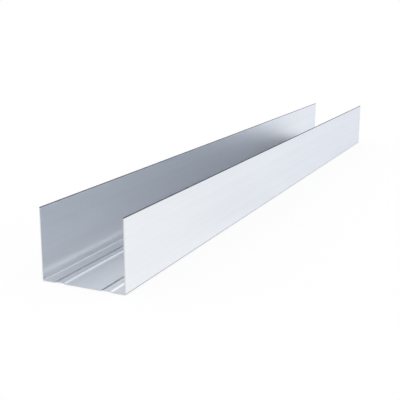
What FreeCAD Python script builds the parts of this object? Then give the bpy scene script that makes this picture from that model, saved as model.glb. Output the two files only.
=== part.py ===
"""Drywall track: a U-shaped strip of thin galvanised steel, roll-formed in one piece.

The web lies on the floor (or against the ceiling) and carries two shallow stiffening ribs that are
pressed up into the channel. The two plain flanges stand square to the web and hold the studs' ends.

Frame, in millimetres: +X along the track, +Y across the web, +Z up along the flanges.
The origin is the middle of the web's underside. The section is drawn for the +Y half and mirrored.
"""

import FreeCAD, Part
import os
import Sketcher

# Driving dimensions: name, value in millimetres, what it measures
SIZES = (
    ("track_length", 500, "length of the piece, end to end"),
    ("web_width", 50, "outside of one flange to the outside of the other"),
    ("flange_height", 40, "underside of the web to the free edge of a flange"),
    ("sheet_thickness", 0.6, "thickness of the steel strip"),
    ("bend_radius", 0.3, "inside radius of the bend between web and flange"),
    ("rib_setback", 11, "outside of a flange to the middle of its rib"),
    ("rib_width", 7, "width of a rib at its foot, on the underside"),
    ("rib_crest_width", 3.4, "width of the flat top of a rib, on the underside"),
    ("rib_rise", 0.4, "how far a rib is pressed up out of the web"),
    ("rib_radius", 0.4, "inside radius of the four bends of a rib"),
)

# Corners of one skin of the half section, from the middle of the web to the flange's free edge
CORNERS = (
    "web_middle",
    "rib_inner_foot",
    "rib_inner_crest",
    "rib_outer_crest",
    "rib_outer_foot",
    "bend",
    "flange_edge",
)
FLATS = (
    ("web_middle", "rib_inner_foot"),
    ("rib_inner_crest", "rib_outer_crest"),
    ("rib_outer_foot", "bend"),
)
SLOPES = (
    ("rib_inner_foot", "rib_inner_crest"),
    ("rib_outer_crest", "rib_outer_foot"),
)

# The concave side of each bend has the inside radius, and the other side that radius plus the sheet
RIB_INSIDE = (
    ("upper", "rib_inner_foot"),
    ("under", "rib_inner_crest"),
    ("under", "rib_outer_crest"),
    ("upper", "rib_outer_foot"),
)
RIB_OUTSIDE = (
    ("under", "rib_inner_foot"),
    ("upper", "rib_inner_crest"),
    ("upper", "rib_outer_crest"),
    ("under", "rib_outer_foot"),
)

START = 1
END = 2
ORIGIN = (-1, 1)
SAME_PLACE = 1e-4


def make_sizes(doc):
    """A spreadsheet with one named cell for each driving dimension."""
    sheet = doc.addObject("Spreadsheet::Sheet", "sizes")
    for row, (name, value, note) in enumerate(SIZES, start=1):
        sheet.set(f"A{row}", name)
        sheet.set(f"B{row}", str(value))
        sheet.set(f"C{row}", note)
        sheet.setAlias(f"B{row}", name)
    doc.recompute()
    return sheet


def origin_plane(body, role):
    """One of the body's own origin planes."""
    return next(f for f in body.Origin.OriginFeatures if f.Role == role)


def corner_guesses(sheet):
    """Where each corner of the half section lies, roughly: the sketch's constraints then settle it."""
    half = sheet.web_width / 2
    rib = half - sheet.rib_setback
    foot = sheet.rib_width / 2
    crest = sheet.rib_crest_width / 2
    under = {
        "web_middle": (0, 0),
        "rib_inner_foot": (rib - foot, 0),
        "rib_inner_crest": (rib - crest, sheet.rib_rise),
        "rib_outer_crest": (rib + crest, sheet.rib_rise),
        "rib_outer_foot": (rib + foot, 0),
        "bend": (half, 0),
        "flange_edge": (half, sheet.flange_height),
    }
    upper = {name: (y, z + sheet.sheet_thickness) for name, (y, z) in under.items()}
    inside = half - sheet.sheet_thickness
    upper["bend"] = (inside, sheet.sheet_thickness)
    upper["flange_edge"] = (inside, sheet.flange_height)
    return {"under": under, "upper": upper}


class HalfSection:
    """The sketch of the +Y half of the section: two skins a sheet's thickness apart, with sharp corners."""

    def __init__(self, body, sheet):
        self.sketch = body.newObject("Sketcher::SketchObject", "HalfSection")
        self.sketch.AttachmentSupport = [(origin_plane(body, "YZ_Plane"), "")]
        self.sketch.MapMode = "FlatFace"
        self.loop = [("under", c) for c in CORNERS] + [("upper", c) for c in reversed(CORNERS)]
        self.thickness = sheet.sheet_thickness
        self.draw(corner_guesses(sheet))
        self.hold_shape()
        self.hold_web_and_flange()
        self.hold_rib()

    def draw(self, guesses):
        """One line from each corner of the loop to the next."""
        points = [FreeCAD.Vector(*guesses[skin][name], 0) for skin, name in self.loop]
        for i, point in enumerate(points):
            following = (i + 1) % len(points)
            self.sketch.addGeometry(Part.LineSegment(point, points[following]), False)
        for i in range(len(points)):
            following = (i + 1) % len(points)
            self.add("Coincident", i, END, following, START)

    def add(self, *constraint):
        return self.sketch.addConstraint(Sketcher.Constraint(*constraint))

    def bind(self, name, expression, *constraint):
        """A dimension whose value is worked out from the spreadsheet."""
        index = self.add(*constraint)
        self.sketch.renameConstraint(index, name)
        self.sketch.setExpression(f"Constraints.{name}", expression)

    def at(self, skin, name):
        """A corner as the start point of its line."""
        return (self.loop.index((skin, name)), START)

    def line(self, skin, first, second):
        """The line between two neighbouring corners of one skin."""
        return min(self.at(skin, first)[0], self.at(skin, second)[0])

    def place(self, skin, name):
        """A corner's solved position across the web and up from its underside."""
        point = self.sketch.Geometry[self.at(skin, name)[0]].StartPoint
        return point.x, point.y

    def hold_shape(self):
        """Level web and rib, upright flange, and rib slopes that run parallel on both skins."""
        self.add("Coincident", *self.at("under", "web_middle"), *ORIGIN)
        self.add("Horizontal", *self.at("under", "web_middle"), *self.at("under", "bend"))
        for skin in ("under", "upper"):
            for first, second in FLATS:
                self.add("Horizontal", self.line(skin, first, second))
            self.add("Vertical", self.line(skin, "bend", "flange_edge"))
        self.add("Horizontal", *self.at("under", "flange_edge"), *self.at("upper", "flange_edge"))
        self.add("Vertical", *self.at("under", "web_middle"), *self.at("upper", "web_middle"))
        for first, second in SLOPES:
            self.add("Parallel", self.line("under", first, second), self.line("upper", first, second))

    def step(self, first, second):
        """The way from one drawn corner to another."""
        return self.sketch.getPoint(*second) - self.sketch.getPoint(*first)

    def across(self, name, expression, first, second):
        """A dimension along Y between two corners."""
        self.bind(name, expression, "DistanceX", *first, *second, self.step(first, second).x)

    def upwards(self, name, expression, first, second):
        """A dimension along Z between two corners."""
        self.bind(name, expression, "DistanceY", *first, *second, self.step(first, second).y)

    def hold_web_and_flange(self):
        """Half the web, the flange, and the sheet's thickness on each."""
        sheet = "sizes.sheet_thickness"
        self.across("half_web", "sizes.web_width / 2", ORIGIN, self.at("under", "bend"))
        self.upwards("flange", "sizes.flange_height", ORIGIN, self.at("under", "flange_edge"))
        self.upwards("middle_sheet", sheet, ORIGIN, self.at("upper", "web_middle"))
        self.upwards("side_sheet", sheet, self.at("under", "bend"), self.at("upper", "bend"))
        self.across("flange_sheet", sheet, self.at("upper", "bend"), self.at("under", "bend"))

    def hold_rib(self):
        """The rib's feet, crest and rise on the underside, and the sheet's thickness over it."""
        middle = "sizes.web_width / 2 - sizes.rib_setback"
        for side, sign in (("inner", "-"), ("outer", "+")):
            foot = self.at("under", f"rib_{side}_foot")
            crest = self.at("under", f"rib_{side}_crest")
            self.across(f"{side}_foot", f"{middle} {sign} sizes.rib_width / 2", ORIGIN, foot)
            self.across(f"{side}_crest", f"{middle} {sign} sizes.rib_crest_width / 2", ORIGIN, crest)
        crest = self.at("under", "rib_inner_crest")
        self.upwards("rise", "sizes.rib_rise", ORIGIN, crest)
        self.upwards("crest_sheet", "sizes.sheet_thickness", crest, self.at("upper", "rib_inner_crest"))
        for first, second in SLOPES:
            slope = self.line("under", first, second)
            over = self.at("upper", first)
            self.bind(f"{first}_sheet", "sizes.sheet_thickness", "Distance", *over, slope, self.thickness)


def edges_along(shape, places):
    """Names of the edges that run along the track at these places of the section, on both halves."""
    found = []
    for number, edge in enumerate(shape.Edges, start=1):
        middle = edge.CenterOfMass
        for y, z in places:
            if abs(abs(middle.y) - y) < SAME_PLACE and abs(middle.z - z) < SAME_PLACE:
                found.append(f"Edge{number}")
    if len(found) != 2 * len(places):
        raise RuntimeError(f"found {len(found)} edges for {len(places)} corners and their mirror images")
    return found


def add_bends(doc, body, section, name, corners, radius):
    """Rounds the edges at these corners of the section."""
    places = [section.place(*corner) for corner in corners]
    base = body.Tip
    edges = edges_along(base.Shape, places)
    bends = body.newObject("PartDesign::Fillet", name)
    bends.Base = (base, edges)
    bends.setExpression("Radius", radius)
    body.Tip = bends
    doc.recompute()


def make_track(doc, sheet):
    """The strip: the half section carried along the track, mirrored, then bent at its corners."""
    body = doc.addObject("PartDesign::Body", "Track")
    body.Label = "track"
    section = HalfSection(body, sheet)
    doc.recompute()

    half = body.newObject("PartDesign::Pad", "HalfTrack")
    half.Profile = section.sketch
    half.SideType = "Symmetric"
    half.setExpression("Length", "sizes.track_length")
    doc.recompute()

    whole = body.newObject("PartDesign::Mirrored", "WholeTrack")
    whole.Originals = [half]
    whole.MirrorPlane = (origin_plane(body, "XZ_Plane"), [""])
    body.Tip = whole
    doc.recompute()

    outside = " + sizes.sheet_thickness"
    add_bends(doc, body, section, "BendOutside", [("under", "bend")], "sizes.bend_radius" + outside)
    add_bends(doc, body, section, "BendInside", [("upper", "bend")], "sizes.bend_radius")
    add_bends(doc, body, section, "RibInside", RIB_INSIDE, "sizes.rib_radius")
    add_bends(doc, body, section, "RibOutside", RIB_OUTSIDE, "sizes.rib_radius" + outside)
    return body


def check(doc, pieces):
    """Stops before anything is written if a feature failed or a piece isn't one sound solid."""
    for item in doc.Objects:
        if "Invalid" in item.State or "Error" in item.State:
            raise RuntimeError(f"{item.Name} failed: {item.State}")
    for piece in pieces:
        if piece.Shape.isNull() or not piece.Shape.isValid() or len(piece.Shape.Solids) != 1:
            raise RuntimeError(f"{piece.Label} isn't one valid solid")


def main():
    doc = FreeCAD.newDocument("drywall_track")
    sheet = make_sizes(doc)
    pieces = [make_track(doc, sheet)]
    check(doc, pieces)
    os.makedirs("parts", exist_ok=True)
    for piece in pieces:
        piece.Shape.exportStep(f"parts/{piece.Label}.step")
        print(piece.Label, piece.Shape.BoundBox, f"{piece.Shape.Volume:.1f} mm3")


main()
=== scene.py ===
"""Galvanised drywall track on a white studio floor.

The track is one strip of zinc-coated steel. Its mesh follows the strip as a roll-former bends it:
flat lengths and bend angles across the strip, carried along the length, with a skin on each side.

Frame, in metres: +X along the track, +Y across the web, +Z up along the flanges. The origin is the
middle of the web's underside, as in the CAD model, and the picture shows the track from its -X end.
"""

import math

import bpy
import numpy as np
from bpy.props import FloatProperty, FloatVectorProperty, PointerProperty
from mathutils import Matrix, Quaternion, Vector


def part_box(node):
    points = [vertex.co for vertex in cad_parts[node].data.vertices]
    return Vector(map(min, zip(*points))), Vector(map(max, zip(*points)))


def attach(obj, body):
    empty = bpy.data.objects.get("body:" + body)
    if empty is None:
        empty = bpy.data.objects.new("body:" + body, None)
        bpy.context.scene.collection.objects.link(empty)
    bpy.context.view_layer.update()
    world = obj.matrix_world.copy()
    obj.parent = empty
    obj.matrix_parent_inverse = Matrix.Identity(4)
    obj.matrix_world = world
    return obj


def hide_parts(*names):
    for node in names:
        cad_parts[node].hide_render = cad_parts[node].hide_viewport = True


bl_info = {
    "name": "Drywall Track",
    "version": (1, 0, 0),
    "blender": (4, 5, 0),
    "location": "View3D > Sidebar > Track",
    "description": "A galvanised drywall track and the studio that it is shown in",
    "category": "Add Mesh",
}

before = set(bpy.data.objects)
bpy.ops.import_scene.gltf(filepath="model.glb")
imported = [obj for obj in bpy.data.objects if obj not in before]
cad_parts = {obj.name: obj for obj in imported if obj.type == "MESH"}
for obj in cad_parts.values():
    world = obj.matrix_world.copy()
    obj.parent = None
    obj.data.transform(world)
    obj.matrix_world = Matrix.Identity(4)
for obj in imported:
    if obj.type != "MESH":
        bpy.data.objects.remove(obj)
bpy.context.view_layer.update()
LOW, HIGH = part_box("track")
OUTER = HIGH - LOW

# Distances from a cut edge at which the mesh has a row of points, closer where the edge is rounded
EDGE_ROWS = np.array((0, 0.03, 0.07, 0.12, 0.18, 0.3, 0.6, 1.2)) * 1e-3
# Rows of points on each flat and bend of half the section, from the free edge to the web's middle
SECTION_ROWS = (14, 8, 8, 5, 4, 5, 6, 5, 4, 5, 8)
# Evenly spaced rows of points along the track, with its two ends
LENGTH_ROWS = 150
# How far bare steel shows from a slit edge and from a cut end. At a slit edge the dark steel is also
# painted shade, a line along the free edges
SLIT_REACH = 0.0005
SHEAR_REACH = 0.0003

# The range that most of a noise texture's values lie in
NOISE_RANGE = (0.25, 0.75)
# How much of the zinc's dullness comes from streaks, and the rest from clouds
STREAK_SHARE = 0.6
# How far the clouds change the zinc's roughness
GLOSS_DRIFT = 0.02
# How deep the streaks are pressed into the zinc
STREAK_DEPTH = 0.00002
# Roughness of the slit edges
SLIT_ROUGHNESS = 0.45

# Half widths of the soft borders of the studio's walls
SOFT_FOOT = math.radians(1)
SOFT_TOP = math.radians(2.5)
SOFT_SIDE = math.radians(9)
# Height above the horizon from which the sky dims
DIMS_FROM = math.radians(45)
# Strength of the floor's own white, which makes up for the light that the walls hold back
FLOOR_WHITE = 1.06
# Bounces of light between the flanges
BOUNCES = 24


class StripSizes(bpy.types.PropertyGroup):
    """Sizes of the rolled strip. The outer three are the CAD node's own."""

    length: FloatProperty(
        name="Length",
        description="Cut length of the track",
        default=OUTER.x,
        unit="LENGTH",
    )
    width: FloatProperty(
        name="Width",
        description="Outside of one flange to the outside of the other",
        default=OUTER.y,
        unit="LENGTH",
    )
    height: FloatProperty(
        name="Height",
        description="Underside of the web to the free edge of a flange",
        default=OUTER.z,
        unit="LENGTH",
    )
    sheet: FloatProperty(
        name="Sheet",
        description="Thickness of the strip",
        default=0.0006,
        unit="LENGTH",
    )
    bend_radius: FloatProperty(
        name="Bend Radius",
        description="Inside of the bend between web and flange",
        default=0.0003,
        unit="LENGTH",
    )
    rib_setback: FloatProperty(
        name="Rib Setback",
        description="Outside of a flange to the middle of its rib",
        default=0.011,
        unit="LENGTH",
    )
    rib_width: FloatProperty(
        name="Rib Width",
        description="Width of a rib at its foot, on the underside",
        default=0.007,
        unit="LENGTH",
    )
    rib_crest: FloatProperty(
        name="Rib Crest",
        description="Width of a rib's flat top, on the underside",
        default=0.0034,
        unit="LENGTH",
    )
    rib_rise: FloatProperty(
        name="Rib Rise",
        description="How far a rib stands up from the web",
        default=0.0004,
        unit="LENGTH",
    )
    rib_radius: FloatProperty(
        name="Rib Radius",
        description="Inside of each bend of a rib",
        default=0.0004,
        unit="LENGTH",
    )
    rollover: FloatProperty(
        name="Roll-over",
        description="Rounding that cutting leaves on the outer skin",
        default=0.00016,
        unit="LENGTH",
    )
    burr: FloatProperty(
        name="Burr Side",
        description="Rounding that cutting leaves on the inner skin",
        default=0.00005,
        unit="LENGTH",
    )
    edge_wave: FloatProperty(
        name="Edge Wave",
        description="How far a flange's free edge wanders inwards",
        default=0.00012,
        unit="LENGTH",
    )
    web_wave: FloatProperty(
        name="Web Wave",
        description="How far the middle of the web bulges up",
        default=0.00006,
        unit="LENGTH",
    )


class ZincFinish(bpy.types.PropertyGroup):
    """Colours and gloss of the zinc coat and of the steel at its cut edges, and the painted shade along the
    bends and the slit edges.
    """

    zinc: FloatVectorProperty(
        name="Zinc",
        description="Zinc coat where it is bright",
        default=(0.945, 0.968, 0.993),
        subtype="COLOR",
    )
    dull_zinc: FloatVectorProperty(
        name="Dull Zinc",
        description="Zinc coat where it is dull",
        default=(0.895, 0.917, 0.945),
        subtype="COLOR",
    )
    grazing: FloatVectorProperty(
        name="Grazing",
        description="How much of its brightness the zinc keeps at a grazing angle",
        default=(0.755, 0.785, 0.855),
        subtype="COLOR",
    )
    # Painted shade: a dark line along the outside of every bend, standing in for the shade of the creases
    painted_bend_shade: FloatVectorProperty(
        name="Painted Bend Shade",
        description="Painted shade along the outside of the bends",
        default=(0.18, 0.185, 0.195),
        subtype="COLOR",
    )
    # Partly real and partly painted shade: bare steel shows at a slit edge, and its dark tone draws a dark
    # line along the free edges
    slit_steel_and_edge_shade: FloatVectorProperty(
        name="Slit Steel And Edge Shade",
        description="Bare steel along the slit edges, darkened with painted shade",
        default=(0.09, 0.09, 0.1),
        subtype="COLOR",
    )
    sheared_steel: FloatVectorProperty(
        name="Sheared Steel",
        description="Fresh steel at the cut ends",
        default=(0.66, 0.68, 0.71),
        subtype="COLOR",
    )
    grain: FloatProperty(
        name="Grain",
        description="How much more the rolling lines scatter light across the strip than along it",
        default=0.5,
        min=0,
        max=1,
        subtype="FACTOR",
    )
    satin: FloatProperty(
        name="Satin",
        description="Roughness of the zinc on the flats",
        default=0.3,
        min=0.05,
        max=0.8,
        subtype="FACTOR",
    )
    burnished: FloatProperty(
        name="Burnished",
        description="Roughness of the zinc on the ribs' slopes, which the rolls rub smooth",
        default=0.095,
        min=0.05,
        max=0.8,
        subtype="FACTOR",
    )


class StudioLook(bpy.types.PropertyGroup):
    """Camera, floor and surroundings."""

    eye: FloatVectorProperty(
        name="Eye",
        description="Where the camera stands",
        default=(-0.5525, -0.2044, 0.1368),
        subtype="TRANSLATION",
    )
    turn: FloatProperty(
        name="Turn",
        description="Camera's heading, from +X towards +Y",
        default=0.43041,
        subtype="ANGLE",
    )
    dip: FloatProperty(
        name="Dip",
        description="How far the camera looks down",
        default=0.24553,
        subtype="ANGLE",
    )
    roll: FloatProperty(
        name="Roll",
        description="Camera's tilt about its line of sight",
        default=0.00276,
        subtype="ANGLE",
    )
    lens: FloatProperty(
        name="Lens",
        description="Focal length in millimetres, on a 36 mm sensor",
        default=67.48,
    )
    floor: FloatVectorProperty(
        name="Floor",
        description="Studio floor",
        default=(0.95, 0.95, 0.955),
        subtype="COLOR",
    )
    floor_glow: FloatProperty(
        name="Floor Glow",
        description="Share of the floor's white that no shadow dims",
        default=0.78,
        subtype="FACTOR",
    )
    overhead: FloatProperty(
        name="Overhead",
        description="Brightness of the sky straight overhead",
        default=0.6,
        subtype="FACTOR",
    )
    near_wall: FloatProperty(
        name="Near Wall",
        description="Brightness of the wall beyond the near end",
        default=0.3,
        subtype="FACTOR",
    )
    far_wall: FloatProperty(
        name="Far Wall",
        description="Brightness of the wall beyond the far end",
        default=0.03,
        subtype="FACTOR",
    )
    wall_turn: FloatProperty(
        name="Wall Turn",
        description="Heading of the far wall, from +X towards +Y. The near wall is opposite",
        default=0.34,
        subtype="ANGLE",
    )
    wall_spread: FloatProperty(
        name="Wall Spread",
        description="How far the walls reach to each side of their heading",
        default=math.radians(49.5),
        subtype="ANGLE",
    )
    wall_foot: FloatProperty(
        name="Wall Foot",
        description="How high above the horizon the walls begin",
        default=math.radians(4),
        subtype="ANGLE",
    )
    wall_top: FloatProperty(
        name="Wall Top",
        description="How high above the horizon the walls end",
        default=math.radians(23.8),
        subtype="ANGLE",
    )


def half_strip(sizes):
    """The strip's middle line over the +Y half of the section, from the free edge to the web's middle.

    The line is flats and arcs in turn, each with a length and a turn. With f the fraction of a piece
    that is passed, h its first heading and a its turn, a point is the piece's start plus length * f *
    sin(a f / 2) / (a f / 2) along the heading h + a f / 2. Returns the points in (y, z), the headings
    there, the distance along the strip, and two rows: how far each point lies on a rib's slope, which is
    its lean over the slope's, and how far within a bend, which is 4 f (1 - f) with the sign of the turn.
    """
    half = sizes.sheet / 2
    run = (sizes.rib_width - sizes.rib_crest) / 2
    lean = math.atan2(sizes.rib_rise, run)
    # On the middle line, half a sheet above the underside, a rib is wider by the skew on each side
    skew = half * math.tan(lean / 2)
    # Radii of the bends on the middle line, and the length that a rib's bend takes off both its sides
    bend = sizes.bend_radius + half
    crease = sizes.rib_radius + half
    cut = crease * math.tan(lean / 2)

    flange = sizes.height - half - bend
    verge = sizes.rib_setback - half - sizes.rib_width / 2 - skew - cut - bend
    slope = math.hypot(run, sizes.rib_rise) - 2 * cut
    crest = sizes.rib_crest + 2 * skew - 2 * cut
    middle = sizes.width / 2 - sizes.rib_setback - sizes.rib_width / 2 - skew - cut
    if min(flange, verge, slope, crest, middle) <= 0:
        raise ValueError("the bends of the section run into each other")

    quarter = math.pi / 2
    arc = crease * lean
    length = np.array((flange, bend * quarter, verge, arc, slope, arc, crest, arc, slope, arc, middle))
    turn = np.array((0, -quarter, 0, -lean, 0, lean, 0, lean, 0, -lean, 0))
    heading = -quarter + np.cumsum(turn) - turn

    steps = [np.linspace(0, 1, count, endpoint=False) for count in SECTION_ROWS]
    steps[0] = np.concatenate((EDGE_ROWS / flange, steps[0][1:]))
    steps[-1] = np.append(steps[-1], 1)
    piece = np.repeat(np.arange(len(steps)), [len(s) for s in steps])
    passed = np.concatenate(steps)

    def way(which, part):
        """From the start of each of these pieces to a part of its length."""
        bow = turn[which] * part / 2
        reach = length[which] * part * np.sinc(bow / np.pi)
        course = heading[which] + bow
        return np.stack((reach * np.cos(course), reach * np.sin(course)), axis=1)

    whole = way(np.arange(len(steps)), np.ones(len(steps)))
    start = np.cumsum(whole, axis=0) - whole + (sizes.width / 2 - half, sizes.height)
    points = start[piece] + way(piece, passed)
    facing = heading[piece] + turn[piece] * passed
    along = (np.cumsum(length) - length)[piece] + length[piece] * passed
    # The first two pieces are the flange and its bend. The web after them heads along -pi
    on_slope = np.where(piece > 1, np.abs(facing + math.pi) / lean, 0)
    in_bend = 4 * passed * (1 - passed) * np.sign(turn[piece])
    return points, facing, along, np.stack((on_slope, in_bend))


def strip_line(sizes):
    """The whole middle line: the half line, then its mirror image in the plane y = 0, run backwards.

    Returns points and outward normals in (y, z), the distance along the strip, and the half line's two
    rows, of slopes and of bends. A bend is negative where the outer skin lies on its outside.
    """
    points, facing, along, shares = half_strip(sizes)
    normals = np.stack((-np.sin(facing), np.cos(facing)), axis=1)
    # Every point but the middle one, which both halves share
    back = slice(-2, None, -1)
    flip = np.array((-1, 1))
    points = np.concatenate((points, points[back] * flip))
    normals = np.concatenate((normals, normals[back] * flip))
    along = np.concatenate((along, 2 * along[-1] - along[back]))
    return points, normals, along, np.concatenate((shares, shares[:, back]), axis=1)


def edge_loss(distance, radius):
    """How far a skin falls away at a distance from a rounded edge: r - sqrt(r^2 - (r - d)^2), within r."""
    short = np.clip(radius - distance, 0, radius)
    return radius - np.sqrt(radius**2 - short**2)


def sheet_wander(sizes, x, y, z):
    """How far the sheet lies inwards of its true place, as slow sines along the length.

    The flanges have two, 15 and 6 cm long and out of step on the two sides, times the square of the
    height as a share of the flange's. The web has one, 22 cm long, times (1 - (y / b)^2)^2, with b the
    distance from the web's middle to a rib's, and 0 past it.
    """
    side = np.sign(y)
    up = np.clip(z / sizes.height, 0, 1)
    edge_ripple = 0.5 + 0.3 * np.sin(41 * x + 1.7 * side) + 0.2 * np.sin(97 * x - 0.9 * side + 2)
    web = np.clip(1 - (y / (sizes.width / 2 - sizes.rib_setback)) ** 2, 0, 1)
    web_ripple = 0.5 + 0.5 * np.sin(29 * x + 0.6)
    return sizes.edge_wave * up**2 * edge_ripple + sizes.web_wave * web**2 * web_ripple


def strip_mesh(sizes):
    """The bent sheet as a closed mesh: outer skin, inner skin and the cut faces between them.

    Each skin is the middle surface moved by half the sheet along its normal, less what the rounding of
    the cut edges takes off. The sheet's wander moves both skins inwards.
    """
    points, normals, along, (on_slope, in_bend) = strip_line(sizes)
    half_length = sizes.length / 2
    even = np.linspace(-half_length, half_length, LENGTH_ROWS)[1:-1]
    x = np.concatenate((EDGE_ROWS - half_length, even, half_length - EDGE_ROWS[::-1]))[None, :]
    y, z = points[:, :1], points[:, 1:]
    from_slit = np.minimum(along, along[-1] - along)[:, None]
    from_end = half_length - np.abs(x)

    inward = sheet_wander(sizes, x, y, z)
    skins = []
    for outward, radius in ((1, sizes.rollover), (-1, sizes.burr)):
        loss = np.minimum(edge_loss(from_slit, radius) + edge_loss(from_end, radius), radius)
        move = outward * (sizes.sheet / 2 - loss) - inward
        skin = np.broadcast_arrays(x, y + move * normals[:, :1], z + move * normals[:, 1:])
        skins.append(np.stack(skin, axis=-1))

    outer = np.arange(inward.size).reshape(inward.shape)
    inner = outer + outer.size
    faces = (
        grid_quads(outer),
        grid_quads(inner)[:, ::-1],
        rim_quads(outer[0], inner[0]),
        rim_quads(inner[-1], outer[-1]),
        rim_quads(inner[:, 0], outer[:, 0]),
        rim_quads(outer[:, -1], inner[:, -1]),
    )
    quads = np.concatenate(faces)
    smooth = np.arange(len(quads)) < len(faces[0]) + len(faces[1])

    mesh = bpy.data.meshes.new("galvanised_strip")
    mesh.from_pydata(np.concatenate(skins).reshape(-1, 3), [], quads)
    mesh.polygons.foreach_set("use_smooth", smooth)
    marks = {
        "slit_edge": [np.clip(1 - from_slit / SLIT_REACH, 0, 1)] * 2,
        "sheared_end": [np.clip(1 - from_end / SHEAR_REACH, 0, 1)] * 2,
        "rib_slope": [on_slope[:, None]] * 2,
        # This mark places the painted shade along the outside of the bends
        "bend_shade_mask": [np.clip(sign * in_bend, 0, 1)[:, None] for sign in (-1, 1)],
    }
    for name, mark in marks.items():
        values = [np.broadcast_to(skin, outer.shape).ravel() for skin in mark]
        layer = mesh.attributes.new(name, "FLOAT", "POINT")
        layer.data.foreach_set("value", np.concatenate(values))
    add_flat_map(mesh, quads, x / sizes.length + 0.5, along[:, None] / along[-1])
    mesh.validate()
    mesh.update()
    return mesh


def add_flat_map(mesh, quads, along, across):
    """A UV map of the strip laid flat: the outer skin in the lower half, the inner skin in the upper."""
    u, v = np.broadcast_arrays(along, across)
    flat = np.concatenate([np.stack((u, (v + half) / 2), axis=-1).reshape(-1, 2) for half in (0, 1)])
    layer = mesh.uv_layers.new(name="flat_strip", do_init=False)
    layer.uv.foreach_set("vector", flat[quads.ravel()].ravel())


def grid_quads(index):
    """Faces of a grid of vertex numbers, wound so that they face along (second axis) x (first axis)."""
    corners = (index[:-1, :-1], index[:-1, 1:], index[1:, 1:], index[1:, :-1])
    return np.stack(corners, axis=-1).reshape(-1, 4)


def rim_quads(first, second):
    """Faces between two rows of vertex numbers."""
    return np.stack((first[:-1], second[:-1], second[1:], first[1:]), axis=-1)


class Nodes:
    """A short way to write the nodes of a material or of the world."""

    def __init__(self, owner):
        owner.use_nodes = True
        self.tree = owner.node_tree
        self.tree.nodes.clear()

    def put(self, socket, value):
        """A link or a value on one socket."""
        if isinstance(value, bpy.types.NodeSocket):
            self.tree.links.new(value, socket)
        else:
            socket.default_value = value

    def add(self, kind, sockets=None, **settings):
        """A node with its settings, and with links or values on its sockets."""
        node = self.tree.nodes.new(kind)
        for name, value in settings.items():
            setattr(node, name, value)
        for key, value in (sockets or {}).items():
            self.put(node.inputs[key], value)
        return node

    def math(self, operation, *values):
        """One operation on values or links."""
        return self.add("ShaderNodeMath", dict(enumerate(values)), operation=operation).outputs[0]

    def span(self, value, low, high, to_low=0.0, to_high=1.0, kind="LINEAR"):
        """A value carried from one range to another and kept within it."""
        sockets = {"Value": value, "From Min": low, "From Max": high, "To Min": to_low, "To Max": to_high}
        return self.add("ShaderNodeMapRange", sockets, interpolation_type=kind).outputs["Result"]

    def step(self, value, low, high):
        """0 to 1 from one value to another, with a soft start and end."""
        return self.span(value, low, high, kind="SMOOTHSTEP")

    def mix(self, factor, first, second):
        """One colour turning into another. The colours are the Mix node's sockets 6 and 7."""
        node = self.add("ShaderNodeMix", {"Factor": factor}, data_type="RGBA")
        for number, value in ((6, first), (7, second)):
            linked = isinstance(value, bpy.types.NodeSocket)
            self.put(node.inputs[number], value if linked else (*value, 1))
        return node.outputs[2]

    def mark(self, name, begins, full):
        """A mark that the mesh carries: 0 until it begins to show, and 1 where it is full."""
        return self.span(self.add("ShaderNodeAttribute", attribute_name=name).outputs["Fac"], begins, full)


def zinc_material(finish, sizes, strip_width):
    """Zinc coat on rolled strip, laid out in the flat strip's own metres.

    Streaks along the strip and clouds make the coat brighter and duller. The marks on the mesh then turn
    it into painted shade, a dark line along the outside of the bends, and into bare steel at the cut edges,
    which at the slit edges is darker still as painted shade.
    """
    material = bpy.data.materials.new("zinc_coat")
    nodes = Nodes(material)
    flat = nodes.add("ShaderNodeUVMap", uv_map="flat_strip").outputs["UV"]

    def noise(along, across, detail):
        """Noise with so many cells to the metre along the strip and across it."""
        scale = (sizes.length * along, 2 * strip_width * across, 1)
        place = nodes.add("ShaderNodeMapping", {"Vector": flat, "Scale": scale}).outputs["Vector"]
        sockets = {"Vector": place, "Scale": 1, "Detail": detail}
        return nodes.add("ShaderNodeTexNoise", sockets, noise_dimensions="2D").outputs["Fac"]

    streaks = noise(along=1.5, across=240, detail=3)
    clouds = noise(along=9, across=30, detail=2)
    streak_part = nodes.span(streaks, *NOISE_RANGE, 0, STREAK_SHARE)
    cloud_part = nodes.span(clouds, *NOISE_RANGE, 0, 1 - STREAK_SHARE)
    coat = nodes.mix(nodes.math("ADD", streak_part, cloud_part), finish.zinc, finish.dull_zinc)

    slit = nodes.mark("slit_edge", begins=0.15, full=0.6)
    sheared = nodes.mark("sheared_end", begins=0.1, full=0.6)
    bend_shade_mask = nodes.mark("bend_shade_mask", begins=0, full=0.7)
    rubbed = nodes.mark("rib_slope", begins=0.2, full=0.8)
    # Painted shade: the outside of the bends turns dark
    colour = nodes.mix(bend_shade_mask, coat, finish.painted_bend_shade)
    colour = nodes.mix(sheared, colour, finish.sheared_steel)
    # Bare steel at the slit edges, darker than the steel at the cut ends as painted shade along the free
    # edges
    colour = nodes.mix(slit, colour, finish.slit_steel_and_edge_shade)

    gloss = nodes.span(clouds, *NOISE_RANGE, finish.satin - GLOSS_DRIFT, finish.satin + GLOSS_DRIFT)
    gloss = nodes.span(rubbed, 0, 1, gloss, finish.burnished)
    gloss = nodes.span(slit, 0, 1, gloss, SLIT_ROUGHNESS)
    ripple = nodes.add("ShaderNodeBump", {"Strength": 1, "Distance": STREAK_DEPTH, "Height": streaks})
    shader = nodes.add(
        "ShaderNodeBsdfPrincipled",
        {
            "Base Color": colour,
            "Metallic": 1,
            "Roughness": gloss,
            "Normal": ripple.outputs["Normal"],
            "Specular Tint": (*finish.grazing, 1),
            "Anisotropic": finish.grain,
            "Tangent": nodes.add("ShaderNodeTangent", direction_type="RADIAL", axis="X").outputs["Tangent"],
        },
    )
    nodes.add("ShaderNodeOutputMaterial", {"Surface": shader.outputs["BSDF"]})
    return material


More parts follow.
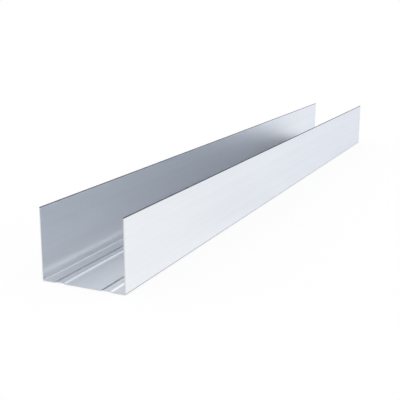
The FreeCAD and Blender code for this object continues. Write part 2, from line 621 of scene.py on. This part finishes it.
class TRACK_OT_strip(bpy.types.Operator):
    """Make the galvanised strip that stands for the CAD node"""

    bl_idname = "track.strip"
    bl_label = "Galvanised Strip"

    def execute(self, context):
        sizes = context.scene.track_sizes
        mesh = strip_mesh(sizes)
        piece = bpy.data.objects.new("track_strip", mesh)
        context.scene.collection.objects.link(piece)
        strip_width = float(strip_line(sizes)[2][-1])
        mesh.materials.append(zinc_material(context.scene.track_finish, sizes, strip_width))
        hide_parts("track")
        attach(piece, "root")
        return {"FINISHED"}


def white_world(scene, look):
    """A white sky that dims overhead, and a wall beyond each end of the track, darker at the far end.

    The walls are a product of smooth steps: around their heading and its opposite, and between two
    heights. The sky falls by a smooth step from halfway up to the point overhead.
    """
    world = bpy.data.worlds.new("studio_white")
    scene.world = world
    nodes = Nodes(world)
    way = nodes.add("ShaderNodeTexCoord").outputs["Generated"]
    height = nodes.add("ShaderNodeSeparateXYZ", {"Vector": way}).outputs["Z"]
    heading = (math.cos(look.wall_turn), math.sin(look.wall_turn), 0)
    dot = nodes.add("ShaderNodeVectorMath", {0: way, 1: heading}, operation="DOT_PRODUCT")
    toward = dot.outputs["Value"]

    foot = nodes.step(height, math.sin(look.wall_foot - SOFT_FOOT), math.sin(look.wall_foot + SOFT_FOOT))
    top = nodes.step(height, math.sin(look.wall_top + SOFT_TOP), math.sin(look.wall_top - SOFT_TOP))
    side_low, side_high = math.cos(look.wall_spread + SOFT_SIDE), math.cos(look.wall_spread - SOFT_SIDE)
    side = nodes.step(nodes.math("ABSOLUTE", toward), side_low, side_high)
    walls = nodes.math("MULTIPLY", nodes.math("MULTIPLY", foot, top), side)

    # One wall's brightness turns into the other's square to their heading, where neither shows
    wall = nodes.span(toward, -0.1, 0.1, look.near_wall, look.far_wall)
    sky = nodes.span(height, math.sin(DIMS_FROM), 1, 1, look.overhead, kind="SMOOTHSTEP")
    strength = nodes.span(walls, 0, 1, sky, wall)
    light = nodes.add("ShaderNodeBackground", {"Color": (1, 1, 1, 1), "Strength": strength})
    nodes.add("ShaderNodeOutputWorld", {"Surface": light.outputs["Background"]})


def studio_floor(scene, look):
    """A wide plain sheet just under the track. Part of its white is its own, so its shadows are pale."""
    reach = 20
    level = -0.0001
    corners = [(x * reach, y * reach, level) for x, y in ((-1, -1), (1, -1), (1, 1), (-1, 1))]
    mesh = bpy.data.meshes.new("studio_floor")
    mesh.from_pydata(corners, [], [(0, 1, 2, 3)])
    floor = bpy.data.objects.new("studio_floor", mesh)
    scene.collection.objects.link(floor)

    material = bpy.data.materials.new("pale_floor")
    nodes = Nodes(material)
    path = nodes.add("ShaderNodeLightPath").outputs
    mirrored = nodes.math("MAXIMUM", path["Is Glossy Ray"], path["Is Transmission Ray"])
    seen = nodes.math("MAXIMUM", path["Is Camera Ray"], mirrored)
    glowing = nodes.math("MULTIPLY", seen, look.floor_glow)
    matt = nodes.add("ShaderNodeBsdfDiffuse", {"Color": (*look.floor, 1)}).outputs["BSDF"]
    white = {"Color": (1, 1, 1, 1), "Strength": FLOOR_WHITE}
    glow = nodes.add("ShaderNodeEmission", white).outputs["Emission"]
    both = nodes.add("ShaderNodeMixShader", {0: glowing, 1: matt, 2: glow})
    nodes.add("ShaderNodeOutputMaterial", {"Surface": both.outputs["Shader"]})
    mesh.materials.append(material)


def studio_camera(scene, look):
    """The camera of the picture: heading turned from +X to +Y, then dipped, then rolled."""
    camera = bpy.data.cameras.new("studio_camera")
    camera.lens = look.lens
    camera.sensor_width = 36
    camera.clip_start = 0.01
    camera.clip_end = 100
    holder = bpy.data.objects.new("studio_camera", camera)
    level = math.cos(look.dip)
    sight = Vector((math.cos(look.turn) * level, math.sin(look.turn) * level, -math.sin(look.dip)))
    holder.location = look.eye
    holder.rotation_mode = "QUATERNION"
    holder.rotation_quaternion = sight.to_track_quat("-Z", "Y") @ Quaternion((0, 0, 1), look.roll)
    scene.collection.objects.link(holder)
    scene.camera = holder


class TRACK_OT_studio(bpy.types.Operator):
    """Set up the floor, the surroundings and the camera"""

    bl_idname = "track.studio"
    bl_label = "White Studio"

    def execute(self, context):
        scene = context.scene
        look = scene.track_studio
        scene.view_settings.view_transform = "Standard"
        scene.cycles.max_bounces = BOUNCES
        scene.cycles.glossy_bounces = BOUNCES
        white_world(scene, look)
        studio_floor(scene, look)
        studio_camera(scene, look)
        return {"FINISHED"}


class TRACK_PT_panel(bpy.types.Panel):
    """The track's sizes, finish and studio"""

    bl_idname = "TRACK_PT_panel"
    bl_label = "Drywall Track"
    bl_space_type = "VIEW_3D"
    bl_region_type = "UI"
    bl_category = "Track"

    def draw(self, context):
        groups = (
            ("track_sizes", TRACK_OT_strip),
            ("track_finish", None),
            ("track_studio", TRACK_OT_studio),
        )
        for name, operator in groups:
            group = getattr(context.scene, name)
            column = self.layout.column(align=True)
            for key in group.__annotations__:
                column.prop(group, key)
            if operator:
                column.operator(operator.bl_idname)


CLASSES = (StripSizes, ZincFinish, StudioLook, TRACK_OT_strip, TRACK_OT_studio, TRACK_PT_panel)
SETTINGS = {"track_sizes": StripSizes, "track_finish": ZincFinish, "track_studio": StudioLook}


def register():
    """Makes the properties, operators and panel known to Blender."""
    for cls in CLASSES:
        bpy.utils.register_class(cls)
    for name, group in SETTINGS.items():
        setattr(bpy.types.Scene, name, PointerProperty(type=group))


def unregister():
    """Takes them away again."""
    for name in SETTINGS:
        delattr(bpy.types.Scene, name)
    for cls in reversed(CLASSES):
        bpy.utils.unregister_class(cls)


def main():
    """Makes the track and its studio."""
    register()
    bpy.ops.track.strip()
    bpy.ops.track.studio()


if __name__ == "__main__":
    main()
